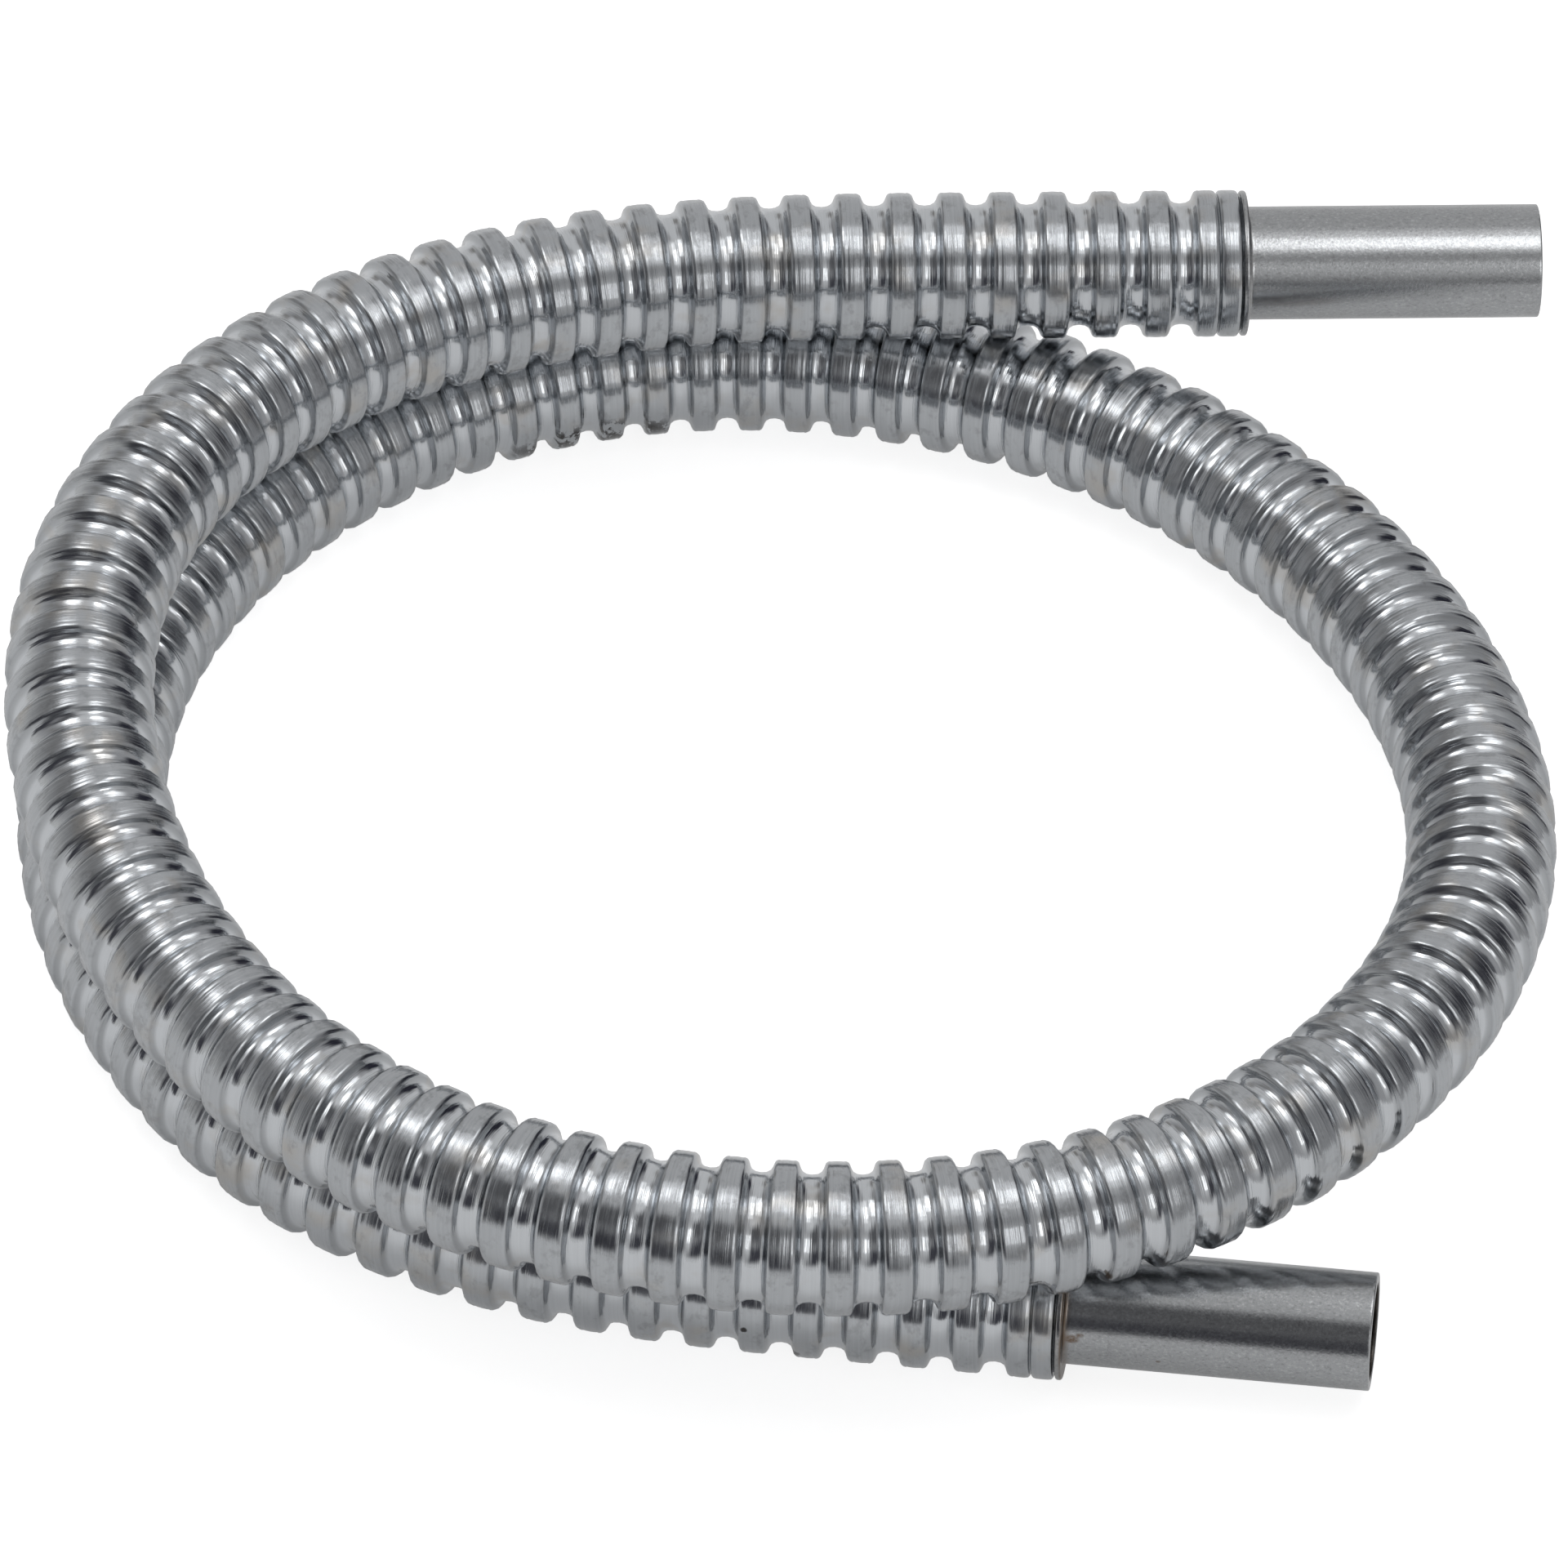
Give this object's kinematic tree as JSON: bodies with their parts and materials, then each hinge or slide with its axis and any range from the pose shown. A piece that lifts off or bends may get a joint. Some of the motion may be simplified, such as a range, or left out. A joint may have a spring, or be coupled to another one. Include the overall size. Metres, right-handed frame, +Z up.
{
  "type": "corrugated gas hose",
  "caption": "Corrugated metal gas hose with a plain tube end on each side, lying in a loose coil, carrying gas from a supply to an appliance.",
  "frame": {"origin": "on the ground, under the middle of the coil's bounding box", "axes": "+Z up from the ground, +X the way both tube ends point, +Y to the upper tube end's side"},
  "size_m": [0.1602, 0.1626, 0.0346],
  "materials": {
    "bright_steel": "bright annealed stainless steel, folded thin sheet with fine drawing lines",
    "satin_steel": "satin drawn stainless steel tube, a little heat tint by the weld"
  },
  "bodies": {
    "root": {"corrugated_hose": "bright_steel", "lower_tube_end": "satin_steel", "upper_tube_end": "satin_steel"}
  },
  "joints": []
}
